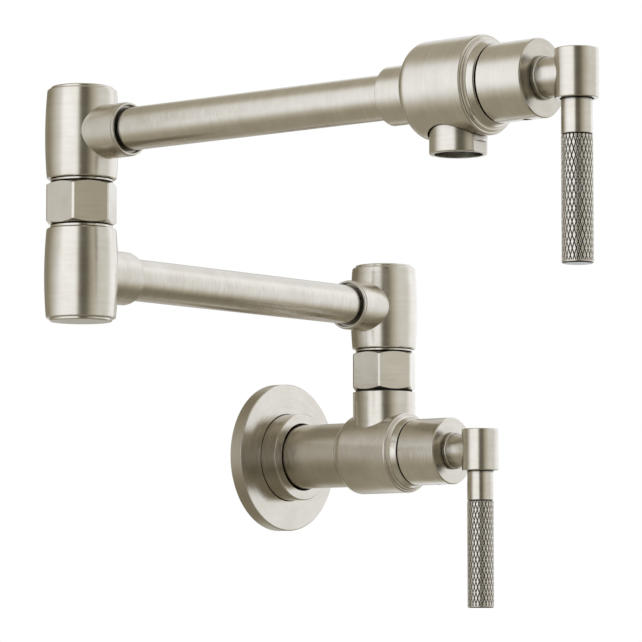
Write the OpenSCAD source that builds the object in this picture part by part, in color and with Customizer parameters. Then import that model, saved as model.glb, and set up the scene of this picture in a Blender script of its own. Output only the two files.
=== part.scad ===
// Wall mounted pot filler: two quarter-turn valves on a double-jointed arm.
// The wall is the plane Y = 0, the filler stands out of it along -Y, and +Z is up.
// The origin is on the wall, where the axis of the base valve meets it.
// At rest the lower arm runs along the wall to -X and the upper arm stands out along -Y.

/* [Wall flange] */
// Diameter of the plate against the wall
plate_d = 90; // [78:1:110]
// Thickness of the plate
plate_t = 8.5; // [7:0.5:11]
// Outside diameter of the raised ring around the sleeve
ring_d = 53; // [50:0.5:62]
// How far the raised ring stands off the plate
ring_h = 11.6; // [10:0.2:16]
// Outside diameter of the sleeve that comes out of the wall
sleeve_d = 38.9; // [35:0.1:43]
// Wall of the sleeve
sleeve_wall = 2.5; // [1.5:0.1:3.5]
// Length of the sleeve, from the wall to the valve body
sleeve_l = 59.6; // [50:0.2:75]
// Radius of the bore of the inlet's female pipe thread
inlet_r = 9.3; // [8:0.1:10.5]
// Depth of the inlet's thread
inlet_l = 15; // [12:0.5:20]

/* [Valves] */
// Outside diameter of the base valve body
base_body_d = 48; // [45:0.1:56]
// Outside diameter of the outlet valve body
outlet_body_d = 50.3; // [46:0.1:60]
// Length of the base valve body, from the sleeve to its front edge
base_body_l = 42.35; // [40:0.05:55]
// Length of the outlet valve body, without its ferrule
outlet_body_l = 40.3; // [39:0.1:55]
// How far the post stands back from the front edge of the base valve body
post_inset = 0.1; // [0:0.1:2]
// Depth of the cartridge chamber
chamber_l = 34; // [33:0.5:36]
// Length of the stepped bezel in front of a valve body
bezel_l = 5.6; // [5:0.1:8]

/* [Swivels] */
// Diameter of the post on top of the base valve
post_d = 37.4; // [34:0.2:42]
// Height of the top of the post over the axis of the base valve
post_h = 36.8; // [36:0.1:48]
// Width of the hex nuts across their flats
hex_af = 35; // [33:0.1:41]
// Height of the hex nuts
hex_h = 23.6; // [18:0.1:28]
// Largest diameter of the swivel barrels
barrel_d = 40.2; // [38:0.2:46]
// How far a barrel's middle stands proud of its ends
barrel_bulge = 1.1; // [0.3:0.1:2]
// Height of the swivel barrels
barrel_h = 49; // [46:0.5:60]
// Width of a barrel's rim around its cap
cap_inset = 1.9; // [1.2:0.1:3]
// How far a cap stands proud of its barrel
cap_h = 1.6; // [1:0.1:4]

/* [Arms] */
// Distance between the two swivel axes
lower_arm_l = 266.2; // [220:0.1:320]
// Distance from the elbow's axis to the outlet
upper_arm_l = 257.1; // [230:0.1:310]
// Outside diameter of the arm tubes
tube_d = 23.3; // [20:0.1:26]
// Wall of the arm tubes
tube_wall = 1.5; // [1:0.1:2.5]
// Wall of the sockets that hold the arm tubes
socket_wall = 3.05; // [2.2:0.05:3.6]
// Distance from a barrel's axis to the end of its socket
socket_l = 36; // [30:0.1:45]
// Length of the ferrule behind the outlet valve
ferrule_l = 18.1; // [8:0.1:24]

/* [Handles] */
// Diameter of the round skirt of a handle
skirt_d = 39.6; // [37:0.2:43]
// Length of the skirt
skirt_l = 26.8; // [25:0.2:32]
// Diameter of the flange where the neck meets the skirt
flange_d = 22; // [20.5:0.5:28]
// Smallest diameter of the neck
neck_d = 19; // [15:0.5:20]
// Distance from the skirt's face to the axis of the hub
neck_l = 20.2; // [18:0.2:28]
// Diameter of the hub
hub_d = 21.8; // [20.5:0.1:25]
// Height of the hub
hub_h = 24.6; // [22:0.1:32]
// Diameter of the plain part of the lever
rod_d = 15.5; // [13.5:0.1:16.4]
// Length of the plain part of the lever
rod_l = 17.4; // [10:0.1:25]
// Diameter of the grip
grip_d = 15.6; // [14:0.1:18]
// Length of the grip
grip_l = 63.1; // [50:0.1:85]

/* [Outlet] */
// Outside diameter of the outlet collar
collar_d = 29.2; // [27:0.1:30.5]
// Wall of the outlet collar around its mouth
collar_wall = 2.35; // [1.5:0.05:2.6]
// Depth of the collar's mouth, up to the step above it
mouth_l = 6; // [5:0.1:6.5]
// Distance from the valve's axis down to the collar's lower edge
collar_drop = 33.4; // [32:0.1:42]
// Depth of the wrench flats of the collar
flat_depth = 1; // [0.5:0.1:1.2]
// Height of the wrench flats
flats_h = 5.8; // [3:0.1:8]

/* [Hidden] */
$fn = 96;

// Colours
nickel = [0.72, 0.70, 0.66];
brass = [0.80, 0.66, 0.36];
steel = [0.60, 0.60, 0.62];
ceramic = [0.93, 0.93, 0.90];
rubber = [0.09, 0.09, 0.09];
plastic = [0.86, 0.86, 0.84];

// Clearances
fit = 0.05; // radial clearance of turned fits and threads
gap = 0.3; // clearance between pieces that don't touch
overrun = 1; // how far a cut runs past what it cuts
edge = 0.5; // chamfer on turned outer edges
fine_edge = 0.25; // chamfer where two turned pieces meet

// Radii of the driving diameters
plate_r = plate_d / 2;
ring_r = ring_d / 2;
sleeve_r = sleeve_d / 2;
base_body_r = base_body_d / 2;
outlet_body_r = outlet_body_d / 2;
post_r = post_d / 2;
barrel_r = barrel_d / 2;
cap_r = barrel_r - barrel_bulge - cap_inset;
tube_r = tube_d / 2;
tube_bore_r = tube_r - tube_wall;
socket_r = tube_r + socket_wall;
skirt_r = skirt_d / 2;
flange_r = flange_d / 2;
neck_r = neck_d / 2;
hub_r = hub_d / 2;
rod_r = rod_d / 2;
grip_r = grip_d / 2;
collar_r = collar_d / 2;
collar_bore_r = collar_r - collar_wall;

// Wall plate, ring, seal and gasket
plate_hole_gap = 0.5; // dark line around the sleeve
plate_hole_r = sleeve_r + plate_hole_gap;
ring_seat = 1.2; // depth to which the ring sits in the plate
ring_line = 0.4; // dark line around the foot of the ring
ring_bevel = 0.8; // bevel inside the ring's mouth
ring_seal_r = 1.2; // radius of the seal's section
ring_seal_z = plate_t + ring_h / 2;
gasket_t = 2; // thickness of the foam gasket
gasket_margin = 4; // rim of the plate outside the gasket
gasket_w = 7; // width of the gasket

// Inlet shank and the rear of the base valve
shank_wall = 4.4; // wall around the inlet's thread
shank_step = 1.6; // the end that screws into the body is this much slimmer
shank_r = inlet_r + shank_wall;
spigot_r = shank_r - shank_step;
flow_r = 7; // radius of the water way
rear_boss_l = 4; // boss on the body that carries the sleeve
rear_boss_r = sleeve_r - sleeve_wall - fit;
rear_land_l = 2.8; // narrow land between the sleeve and the shoulder
joint_line = 0.4; // depth and width of the lines beside that land
nose_l = 1.2; // length of the rounded front edge of a valve body
nose_drop = 1; // and how much slimmer the body is at its end
base_rear = sleeve_l + fit;
base_front = base_rear + base_body_l;
shank_l = base_rear - rear_boss_l - gap;
port_back = post_r + post_inset; // from a body's front edge back to its post or outlet

// Cartridge and bonnet, which follow the skirt that covers them
skirt_wall = 2.4;
collar_step = 2.2; // the collar's neck is this much slimmer than its bore
bonnet_r = skirt_r - skirt_wall - 2 * joint_line;
bonnet_wall = 7.2; // from the nut's thread to its bore
bonnet_rise = 4; // how far the nut stands out of the body
collar_neck_r = collar_bore_r - collar_step; // the collar's neck in the outlet body
recess_l = port_back - collar_neck_r - fit - gap; // recess for the bonnet nut in the body
cartridge_flange_l = 3;
cartridge_flange_r = bonnet_r - edge;
flange_overlap = 3.1; // width of the flange's seat around the chamber
water_gap = 2.4; // room for the water around the housing
chamber_r = cartridge_flange_r - flange_overlap;
housing_r = chamber_r - water_gap;
housing_wall = 1.5;
housing_neck_r = bonnet_r - bonnet_wall;
housing_rise = 7; // how far the housing's neck stands out of the body
disc_r = housing_r - housing_wall;
stem_r = 5;
stem_tip_r = 4;
seat_wall = 3; // wall behind the chamber
spigot_l = base_body_l + rear_boss_l - chamber_l - seat_wall - gap;

// Places inside the chamber, measured from its seat
seal_t = 2;
disc_t = 2.5;
fixed_disc_z = seal_t;
moving_disc_z = fixed_disc_z + disc_t + fit;
driver_z = moving_disc_z + disc_t + fit;
driver_t = 2.8;
water_room_l = 8; // room for the water above the driver
guide_z = driver_z + driver_t + water_room_l; // where the housing narrows to guide the stem
window_w = 8;
port_place_share = 0.52; // place of a disc's ports along its radius
port_size_share = 0.3;
stem_seal_r = 1.1;
stem_seal_places = [3.2, 8.2]; // from the start of the guide
stem_clip_t = 0.9; // thickness of the stem's clip, and depth of its groove
stem_clip_w = 2.7;

// Bezel: points as shares of its length, and of the step from the skirt up to the body
bezel_shares = [
  [0, 0.72], [0.05, 0.72], [0.12, 0.6], [0.18, 0.55], [0.2, 0.45], [0.28, 0.3], [0.31, 0.28],
  [0.35, 0.33], [0.45, 0.31], [0.9, 0.1], [1, 0.02]
];
bezel_line = 0.6; // dark line between the bezel and the turning skirt
skirt_z = bezel_l + bezel_line;
skirt_face_z = skirt_z + skirt_l;

// Handle
skirt_face_t = 4.5; // thickness of the skirt's front wall
boss_r = 9.2; // boss inside the skirt that holds the stem
boss_start = 3.8; // from the skirt's rear edge
stud_web = 1.8; // metal between the stem's end and the hub's stud
screw_r = 2;
screw_l = 4.5;
screw_socket_r = 1.1;
screw_socket_l = 2;
screw_back = 9.4; // from the skirt's face to the screw
screw_hole_r = 2.3; // hole in the skirt over the screw
stud_r = 5; // threaded stud of the hub and of the lever
stud_l = 4.2;
stem_end_z = skirt_face_z - stud_l - stud_web - 2 * gap;
flange_t = 2.6;
flange_round = 0.7;
cove = 0.5; // depth of the hollow along the neck
neck_root_r = neck_r + cove;
rod_recess = 0.8; // depth of the dark ring where the lever enters the hub
rod_recess_w = 0.7; // width of that ring
rod_stud_l = 9;
grip_core_r = 4;
grip_end_t = 4; // solid end of the grip
grip_round = 1;
hub_round = 0.6;

// Swivels
spindle_back = 8.1; // from a barrel's outside in to the spindle
spindle_wall = 5; // wall of the spindle around its bore
land_rise = 2; // how far the spindle's lands stand out of it
waist_depth = 4.2; // and how far it is turned down between them
spindle_r = barrel_r - spindle_back;
spindle_bore_r = spindle_r - spindle_wall;
swivel_bore_r = spindle_r + land_rise;
land_r = swivel_bore_r - fit;
waist_r = swivel_bore_r - waist_depth;
thread_l = 14; // thread of the spindle below a hex nut
land_z = 2; // places along a barrel, from its lower end
land_top_z = 10;
upper_land_back = 16; // from the barrel's upper end
clip_back = 9;
swivel_seal_r = 1.25;
lower_seal_z = 6;
upper_seal_back = 13;
swivel_clip_t = 1.3;
swivel_clip_w = 2.6;
spindle_end_back = 5.8;
spindle_roof_t = 2; // solid end of the spindle's bore
clip_room = 1.6; // extra radius of the room for the clip and the cap's plug
cap_plug_l = 5;
cross_hole_r = 4.2;
rim_h = 0.35; // raised rims that leave dark lines beside the washers
rim_w = 1; // width of those rims outside a barrel's bore
rim_r = swivel_bore_r + rim_w;
washer_inset = 0.5;
washer_r = hex_af / 2 - washer_inset;
washer_t = 1;
spacer_t = 1.2;
gasket_h = 0.8;
gasket_inset = 1.6;
gasket_r = post_r - gasket_inset;
hex_face_share = 0.94; // end face of a hex nut as a share of its width across flats
hex_corner_share = 0.981; // rounded corners as a share of the sharp ones
hex_chamfer_slope = 30; // degrees

// Stacks above a seat: what lies below the hex nut, then the nut, then the washer
washer_room = rim_h + washer_t + rim_h;
spacer_room = rim_h + spacer_t + rim_h;
base_stack_h = gasket_h + hex_h + washer_room;
elbow_stack_h = spacer_room + hex_h + washer_room;
base_out = base_front - port_back; // distance of the base swivel from the wall
lower_arm_z = post_h + base_stack_h + barrel_h / 2;
elbow_z = lower_arm_z + barrel_h / 2;
upper_arm_z = elbow_z + elbow_stack_h + barrel_h / 2;

// Sockets and tubes
tube_start = 19.5; // from a barrel's axis to the end of the tube
socket_recess_l = 2;
socket_recess_w = 1.6; // width of the dark ring around the tube
socket_lip_l = 1.6;
socket_lip = 0.35; // the lip at the socket's end is this much slimmer

// Outlet
outlet_front = upper_arm_l + port_back; // from the elbow's axis
outlet_rear = outlet_front - outlet_body_l;
step_ring_l = 2;
step_ring_rise = 2.6; // the ring between ferrule and body over a socket
ferrule_rise = 0.4; // the ferrule over a socket
shoulder_face = 1.4; // flat face between that ring and the body's shoulder
step_ring_r = socket_r + step_ring_rise;
ferrule_r = socket_r + ferrule_rise;
ferrule_start = outlet_rear - step_ring_l - ferrule_l;
tube_in_body = 3; // how far the tube runs into the valve body
outlet_shoulder_r = step_ring_r + shoulder_face;
collar_hole_gap = 0.75; // dark line around the collar
collar_floor_t = 5.6; // body between the chamber and the collar's hole
collar_floor = chamber_r + collar_floor_t;
collar_neck_l = 4;
collar_roof_t = 1.6;
collar_l = collar_drop - collar_floor; // up to the floor of its hole
collar_room_l = collar_l - collar_roof_t;
room_step = 0.6; // the room above the mouth is this much narrower
room_r = collar_bore_r - room_step;
straightener_l = 5.8;
straightener_back = 0.5; // from that step up to the straightener
straightener_z = mouth_l + straightener_back;
cell_r = 1.25;
cell_pitch = 3.4;
cell_rings = 2;
straightener_gasket_w = 3;

// A point list along an arc or a part of an ellipse
function arc(x, z, rx, rz, from, to, steps) =
  [for (i = [0 : steps]) let (a = from + (to - from) * i / steps) [x + rx * cos(a), z + rz * sin(a)]];

module turned(points) {
  rotate_extrude()
    polygon(points);
}

module pipe(outer_r, inner_r, length) {
  difference() {
    cylinder(r = outer_r, h = length);
    translate([0, 0, -overrun])
      cylinder(r = inner_r, h = length + 2 * overrun);
  }
}

// A plain round bar with chamfered ends
module bar(radius, length, chamfer) {
  turned([
    [0, 0], [radius - chamfer, 0], [radius, chamfer],
    [radius, length - chamfer], [radius - chamfer, length], [0, length]
  ]);
}

module seal_ring(middle_r, section_r) {
  rotate_extrude()
    translate([middle_r, 0])
      circle(r = section_r, $fn = 24);
}

// Where the groups sit. A shape drawn along +Z comes out of the wall.
module out_of_wall() {
  rotate([90, 0, 0])
    children();
}

module at_base_valve() {
  translate([0, -base_front, 0])
    out_of_wall()
      children();
}

module at_outlet_valve() {
  translate([-lower_arm_l, -base_out - outlet_front, upper_arm_z])
    out_of_wall()
      children();
}

module at_base_swivel(height = 0) {
  translate([0, -base_out, post_h + height])
    children();
}

module at_elbow(height = 0) {
  translate([-lower_arm_l, -base_out, elbow_z + height])
    children();
}

// Wall flange and inlet

module wall_gasket() {
  color(rubber)
    out_of_wall()
      pipe(plate_r - gasket_margin, plate_r - gasket_margin - gasket_w, gasket_t);
}

module wall_plate() {
  color(nickel)
    out_of_wall()
      difference() {
        turned([
          [plate_hole_r, 0], [plate_r, 0], [plate_r, plate_t - edge],
          [plate_r - edge, plate_t], [plate_hole_r, plate_t]
        ]);
        translate([0, 0, plate_t - ring_seat])
          cylinder(r = ring_r + ring_line, h = ring_seat + overrun);
        translate([0, 0, -overrun])
          pipe(plate_r - gasket_margin + fit, plate_r - gasket_margin - gasket_w - fit, gasket_t + overrun);
      }
}

module raised_ring() {
  groove_r = sleeve_r + 2 * ring_seal_r + 2 * fit;
  groove_half = ring_seal_r + fit;
  color(nickel)
    out_of_wall()
      turned([
        [plate_hole_r, plate_t - ring_seat], [ring_r, plate_t - ring_seat],
        [ring_r, plate_t + ring_h - edge], [ring_r - edge, plate_t + ring_h],
        [plate_hole_r + ring_bevel, plate_t + ring_h], [plate_hole_r, plate_t + ring_h - ring_bevel],
        [plate_hole_r, ring_seal_z + groove_half], [groove_r, ring_seal_z + groove_half],
        [groove_r, ring_seal_z - groove_half], [plate_hole_r, ring_seal_z - groove_half]
      ]);
}

module ring_seal() {
  color(rubber)
    out_of_wall()
      translate([0, 0, ring_seal_z])
        seal_ring(sleeve_r + ring_seal_r + fit, ring_seal_r);
}

module wall_sleeve() {
  inner_r = sleeve_r - sleeve_wall;
  color(nickel)
    out_of_wall()
      turned([
        [inner_r, 0], [sleeve_r, 0], [sleeve_r, sleeve_l - fine_edge],
        [sleeve_r - fine_edge, sleeve_l], [inner_r, sleeve_l]
      ]);
}

module inlet_shank() {
  color(brass)
    out_of_wall()
      difference() {
        union() {
          cylinder(r = shank_r, h = shank_l);
          cylinder(r = spigot_r, h = shank_l + spigot_l);
        }
        translate([0, 0, -overrun])
          cylinder(r = flow_r, h = shank_l + spigot_l + 2 * overrun);
        translate([0, 0, -overrun])
          cylinder(r = inlet_r, h = inlet_l + overrun);
      }
}

// Valve bodies, drawn from their front edge at z = 0. The shoulder is a quarter round.

module body_shell(rear_r, outer_r, length) {
  rise = outer_r - rear_r;
  turned(concat(
    [[0, -length], [rear_r, -length]],
    arc(rear_r, rise - length, rise, rise, -90, 0, 14),
    arc(outer_r - nose_drop, -nose_l, nose_drop, nose_l, 0, 90, 6),
    [[0, 0]]
  ));
}

module cartridge_room() {
  translate([0, 0, -chamber_l])
    cylinder(r = chamber_r, h = chamber_l + overrun);
  translate([0, 0, -recess_l])
    cylinder(r = bonnet_r + fit, h = recess_l + overrun);
  translate([0, 0, -chamber_l - seat_wall - overrun])
    cylinder(r = flow_r, h = seat_wall + 2 * overrun);
}

module base_valve_body() {
  shoulder_rear = base_body_l - rear_land_l;
  color(nickel)
    at_base_valve()
      difference() {
        union() {
          body_shell(sleeve_r, base_body_r, shoulder_rear);
          translate([0, 0, -base_body_l])
            cylinder(r = sleeve_r - joint_line, h = rear_land_l + overrun);
          translate([0, 0, joint_line / 2 - base_body_l])
            cylinder(r = sleeve_r, h = rear_land_l - 3 * joint_line / 2);
          translate([0, 0, -base_body_l - rear_boss_l])
            cylinder(r = rear_boss_r, h = rear_boss_l + overrun);
          translate([0, 0, -port_back])
            rotate([-90, 0, 0])
              cylinder(r = post_r, h = post_h);
        }
        cartridge_room();
        translate([0, 0, -base_body_l - rear_boss_l - overrun])
          cylinder(r = flow_r, h = base_body_l + rear_boss_l + overrun - chamber_l);
        translate([0, 0, -base_body_l - rear_boss_l - overrun])
          cylinder(r = spigot_r + fit, h = spigot_l + gap + overrun);
        translate([0, 0, -port_back])
          rotate([-90, 0, 0])
            cylinder(r = flow_r, h = post_h + overrun);
        translate([0, post_h - thread_l - gap, -port_back])
          rotate([-90, 0, 0])
            cylinder(r = spindle_r + fit, h = thread_l + gap + overrun);
      }
}

module outlet_valve_body() {
  color(nickel)
    at_outlet_valve()
      difference() {
        union() {
          body_shell(outlet_shoulder_r, outlet_body_r, outlet_body_l);
          translate([0, 0, -outlet_body_l - step_ring_l])
            cylinder(r = step_ring_r, h = step_ring_l + overrun);
        }
        cartridge_room();
        translate([0, 0, -outlet_body_l - step_ring_l - overrun])
          cylinder(r = flow_r, h = outlet_body_l + step_ring_l + overrun - chamber_l);
        translate([0, 0, -outlet_body_l - step_ring_l - overrun])
          cylinder(r = tube_r + fit, h = step_ring_l + tube_in_body + overrun);
        translate([0, 0, -port_back])
          rotate([90, 0, 0])
            cylinder(r = collar_neck_r + fit, h = collar_floor + overrun);
        translate([0, -collar_floor, -port_back])
          rotate([90, 0, 0])
            cylinder(r = collar_r + collar_hole_gap, h = outlet_body_r);
      }
}

// Pieces in front of a valve body, the same in both valves but for the bezel's diameter

module bezel(outer_r) {
  inner_r = bonnet_r + gap;
  step = outer_r - skirt_r;
  color(nickel)
    turned(concat(
      [[inner_r, 0]],
      [for (p = bezel_shares) [skirt_r + step * p[1], bezel_l * p[0]]],
      [[inner_r, bezel_l]]
    ));
}

module bonnet_nut() {
  color(brass)
    translate([0, 0, cartridge_flange_l - recess_l])
      pipe(bonnet_r, housing_neck_r + fit, recess_l - cartridge_flange_l + bonnet_rise);
}

module cartridge_housing() {
  window_l = guide_z - driver_z - 2 * edge;
  color(brass)
    difference() {
      union() {
        translate([0, 0, gap - chamber_l])
          cylinder(r = housing_r, h = chamber_l - recess_l);
        translate([0, 0, -recess_l])
          cylinder(r = cartridge_flange_r, h = cartridge_flange_l);
        translate([0, 0, -recess_l])
          cylinder(r = housing_neck_r, h = recess_l + housing_rise);
      }
      translate([0, 0, -chamber_l])
        cylinder(r = disc_r + fit, h = guide_z);
      translate([0, 0, -chamber_l])
        cylinder(r = stem_r + fit, h = chamber_l + housing_rise + overrun);
      translate([-window_w / 2, -chamber_r, driver_z + edge - chamber_l])
        cube([window_w, 2 * chamber_r, window_l]);
    }
}

module seat_seal() {
  color(rubber)
    translate([0, 0, -chamber_l])
      pipe(disc_r, flow_r - edge, seal_t);
}

// A ceramic disc with two ports, turned about its axis by the given angle
module ported_disc(angle) {
  color(ceramic)
    difference() {
      cylinder(r = disc_r, h = disc_t);
      for (side = [0, 180])
        rotate([0, 0, angle + side])
          translate([disc_r * port_place_share, 0, -overrun])
            cylinder(r = disc_r * port_size_share, h = disc_t + 2 * overrun);
    }
}

module fixed_disc() {
  translate([0, 0, fixed_disc_z - chamber_l])
    ported_disc(0);
}

module moving_disc() {
  translate([0, 0, moving_disc_z - chamber_l])
    ported_disc(90);
}

module stem() {
  seal_floor_r = stem_r - 2 * stem_seal_r;
  groove_h = 2 * stem_seal_r + 2 * fit;
  tip_z = housing_rise + 2 * stem_clip_t + edge;
  color(brass)
    difference() {
      union() {
        translate([0, 0, driver_z - chamber_l])
          cylinder(r = disc_r - gap, h = driver_t);
        translate([0, 0, driver_z - chamber_l])
          cylinder(r = stem_r, h = chamber_l - driver_z + tip_z);
        translate([0, 0, tip_z - overrun])
          cylinder(r = stem_tip_r, h = stem_end_z - tip_z + overrun);
      }
      for (place = stem_seal_places)
        translate([0, 0, guide_z - chamber_l + place - groove_h / 2])
          pipe(stem_r + overrun, seal_floor_r - fit, groove_h);
      translate([0, 0, housing_rise + fit])
        pipe(stem_r + overrun, stem_r - stem_clip_t, stem_clip_t + 2 * fit);
    }
}

module stem_seals() {
  color(rubber)
    for (place = stem_seal_places)
      translate([0, 0, guide_z - chamber_l + place])
        seal_ring(stem_r - stem_seal_r, stem_seal_r);
}

// A retaining clip with an open side
module clip(inner_r, width, thickness) {
  difference() {
    cylinder(r = inner_r + width, h = thickness);
    translate([0, 0, -overrun])
      cylinder(r = inner_r, h = thickness + 2 * overrun);
    translate([0, -width, -overrun])
      cube([inner_r + width + overrun, 2 * width, thickness + 2 * overrun]);
  }
}

module stem_clip() {
  color(steel)
    translate([0, 0, housing_rise + 2 * fit])
      clip(stem_r - stem_clip_t + fit, stem_clip_w, stem_clip_t);
}

// Handle: the round skirt holds the stem, the hub stands on its face, the lever hangs from the hub

module handle_skirt() {
  boss_z = skirt_z + boss_start;
  cavity_r = skirt_r - skirt_wall;
  color(nickel)
    difference() {
      translate([0, 0, skirt_z])
        bar(skirt_r, skirt_l, edge);
      difference() {
        translate([0, 0, skirt_z - overrun])
          cylinder(r = cavity_r, h = skirt_l - skirt_face_t + overrun);
        translate([0, 0, boss_z])
          cylinder(r = boss_r, h = skirt_l);
      }
      translate([0, 0, boss_z - overrun])
        cylinder(r = stem_tip_r + fit, h = stem_end_z + gap - boss_z + overrun);
      translate([0, 0, skirt_face_z - stud_l - gap])
        cylinder(r = stud_r + fit, h = stud_l + gap + overrun);
      translate([0, 0, skirt_face_z - screw_back])
        rotate([90, 0, 0])
          cylinder(r = screw_r + fit, h = boss_r + overrun);
      translate([0, -boss_r - fit, skirt_face_z - screw_back])
        rotate([90, 0, 0])
          cylinder(r = screw_hole_r, h = skirt_r);
    }
}

module set_screw() {
  color(steel)
    translate([0, -stem_tip_r - fit, skirt_face_z - screw_back])
      rotate([90, 0, 0])
        difference() {
          cylinder(r = screw_r, h = screw_l);
          translate([0, 0, screw_l - screw_socket_l])
            cylinder(r = screw_socket_r, h = screw_socket_l + overrun, $fn = 6);
        }
}

module handle_hub() {
  cove_l = neck_l - flange_t;
  color(nickel)
    translate([0, 0, skirt_face_z])
      difference() {
        union() {
          turned(concat(
            [[0, 0], [flange_r - fine_edge, 0], [flange_r, fine_edge]],
            arc(flange_r - flange_round, flange_t - flange_round, flange_round, flange_round, 0, 90, 5),
            [[neck_root_r, flange_t]],
            [for (i = [1 : 10]) [neck_root_r - cove * sin(18 * i), flange_t + cove_l * i / 10]],
            [[0, neck_l]]
          ));
          translate([0, 0, -stud_l])
            cylinder(r = stud_r, h = stud_l + overrun);
          translate([0, -hub_h / 2, neck_l])
            rotate([-90, 0, 0])
              turned(concat(
                [[0, 0]],
                arc(hub_r - hub_round, hub_round, hub_round, hub_round, -90, 0, 5),
                arc(hub_r - hub_round, hub_h - hub_round, hub_round, hub_round, 0, 90, 5),
                [[0, hub_h]]
              ));
        }
        translate([0, -hub_h / 2 + rod_recess, neck_l])
          rotate([90, 0, 0])
            cylinder(r = rod_r + rod_recess_w, h = rod_recess + overrun);
        translate([0, rod_recess + rod_stud_l + gap - hub_h / 2, neck_l])
          rotate([90, 0, 0])
            cylinder(r = stud_r + fit, h = rod_stud_l + 2 * gap);
      }
}

// The lever hangs from the hub along -y of the valve's frame
module from_hub_end() {
  translate([0, -hub_h / 2, skirt_face_z + neck_l])
    rotate([90, 0, 0])
      children();
}

module lever_rod() {
  color(nickel)
    from_hub_end() {
      translate([0, 0, -rod_recess])
        bar(rod_r, rod_l + rod_recess, fine_edge);
      translate([0, 0, -rod_recess - rod_stud_l])
        cylinder(r = stud_r, h = rod_stud_l + overrun);
      translate([0, 0, rod_l - overrun])
        cylinder(r = grip_core_r, h = grip_l - grip_end_t - gap + overrun);
    }
}

module lever_grip() {
  color(nickel)
    from_hub_end()
      translate([0, 0, rod_l])
        difference() {
          turned(concat(
            [[0, 0], [grip_r - edge, 0], [grip_r, edge]],
            arc(grip_r - grip_round, grip_l - grip_round, grip_round, grip_round, 0, 90, 6),
            [[0, grip_l]]
          ));
          translate([0, 0, -overrun])
            cylinder(r = grip_core_r + fit, h = grip_l - grip_end_t + overrun);
        }
}

// Swivels: a hollow spindle screwed into the piece below, with a barrel that turns on it

module spindle(stack_h) {
  seal_floor_r = land_r - 2 * swivel_seal_r - fit;
  groove_h = 2 * swivel_seal_r + gap;
  upper_land_z = barrel_h - upper_land_back;
  clip_z = barrel_h - clip_back;
  top_z = barrel_h - spindle_end_back;
  color(brass)
    difference() {
      union() {
        translate([0, 0, -thread_l])
          cylinder(r = spindle_r, h = thread_l + stack_h + land_top_z);
        translate([0, 0, stack_h + land_z])
          cylinder(r = land_r, h = land_top_z - land_z);
        translate([0, 0, stack_h])
          cylinder(r = waist_r, h = top_z);
        translate([0, 0, stack_h + upper_land_z])
          cylinder(r = land_r, h = top_z - upper_land_z);
      }
      translate([0, 0, -thread_l - overrun])
        cylinder(r = spindle_bore_r, h = thread_l + stack_h + upper_land_z - spindle_roof_t + overrun);
      for (turn = [0, 90])
        translate([0, 0, stack_h + barrel_h / 2])
          rotate([90, 0, turn])
            cylinder(r = cross_hole_r, h = 2 * waist_r + 2 * overrun, center = true);
      for (place = [lower_seal_z, barrel_h - upper_seal_back])
        translate([0, 0, stack_h + place - groove_h / 2])
          pipe(land_r + overrun, seal_floor_r, groove_h);
      translate([0, 0, stack_h + clip_z])
        pipe(land_r + overrun, land_r - swivel_clip_t, swivel_clip_t + 2 * fit);
    }
}

module swivel_seals(stack_h) {
  color(rubber)
    for (place = [lower_seal_z, barrel_h - upper_seal_back])
      translate([0, 0, stack_h + place])
        seal_ring(land_r - swivel_seal_r, swivel_seal_r);
}

module swivel_clip(stack_h) {
  color(steel)
    translate([0, 0, stack_h + barrel_h - clip_back + fit])
      clip(land_r - swivel_clip_t + fit, swivel_clip_w, swivel_clip_t);
}

// The nut's flats face along X, and its ends are chamfered to a round face
module hex_nut() {
  sharp_r = hex_af / 2 / cos(30);
  corner_r = hex_corner_share * sharp_r;
  face_r = hex_face_share * hex_af / 2;
  chamfer_h = (corner_r - face_r) * tan(hex_chamfer_slope);
  color(nickel)
    difference() {
      union() {
        intersection() {
          rotate([0, 0, 30])
            cylinder(r = sharp_r, h = hex_h, $fn = 6);
          turned([
            [0, 0], [face_r, 0], [corner_r, chamfer_h],
            [corner_r, hex_h - chamfer_h], [face_r, hex_h], [0, hex_h]
          ]);
        }
        translate([0, 0, hex_h - overrun])
          cylinder(r = rim_r, h = overrun + rim_h);
      }
      translate([0, 0, -overrun])
        cylinder(r = spindle_r + fit, h = hex_h + rim_h + 2 * overrun);
    }
}

module flat_ring(outer_r, thickness) {
  pipe(outer_r, spindle_r + fit, thickness);
}

// The outside of a barrel: its wall is a shallow arc
module barrel_shell() {
  half = barrel_h / 2;
  bulge_r = (half * half + barrel_bulge * barrel_bulge) / 2 / barrel_bulge;
  sweep = asin(half / bulge_r);
  turned(concat(
    [[0, 0], [barrel_r - barrel_bulge - edge, 0]],
    [for (p = arc(barrel_r - bulge_r, half, bulge_r, bulge_r, -sweep, sweep, 16))
      [p[0], min(max(p[1], edge), barrel_h - edge)]],
    [[barrel_r - barrel_bulge - edge, barrel_h], [0, barrel_h]]
  ));
}

module socket() {
  translate([0, 0, barrel_h / 2])
    rotate([0, 90, 0]) {
      bar(socket_r - socket_lip, socket_l, fine_edge);
      cylinder(r = socket_r, h = socket_l - socket_lip_l);
    }
}

module socket_bores() {
  translate([0, 0, barrel_h / 2])
    rotate([0, 90, 0]) {
      cylinder(r = flow_r, h = socket_l);
      translate([0, 0, tube_start])
        cylinder(r = tube_r + fit, h = socket_l);
      translate([0, 0, socket_l - socket_recess_l])
        cylinder(r = tube_r + socket_recess_w, h = socket_l);
    }
}

// A barrel that turns on a spindle, with its socket along +X
module turning_barrel() {
  clip_z = barrel_h - clip_back;
  color(nickel)
    difference() {
      union() {
        barrel_shell();
        socket();
        translate([0, 0, fit - rim_h])
          cylinder(r = rim_r, h = rim_h + overrun);
      }
      translate([0, 0, -overrun])
        cylinder(r = swivel_bore_r, h = barrel_h + 2 * overrun);
      translate([0, 0, clip_z])
        cylinder(r = swivel_bore_r + clip_room, h = barrel_h);
      socket_bores();
    }
}

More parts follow.
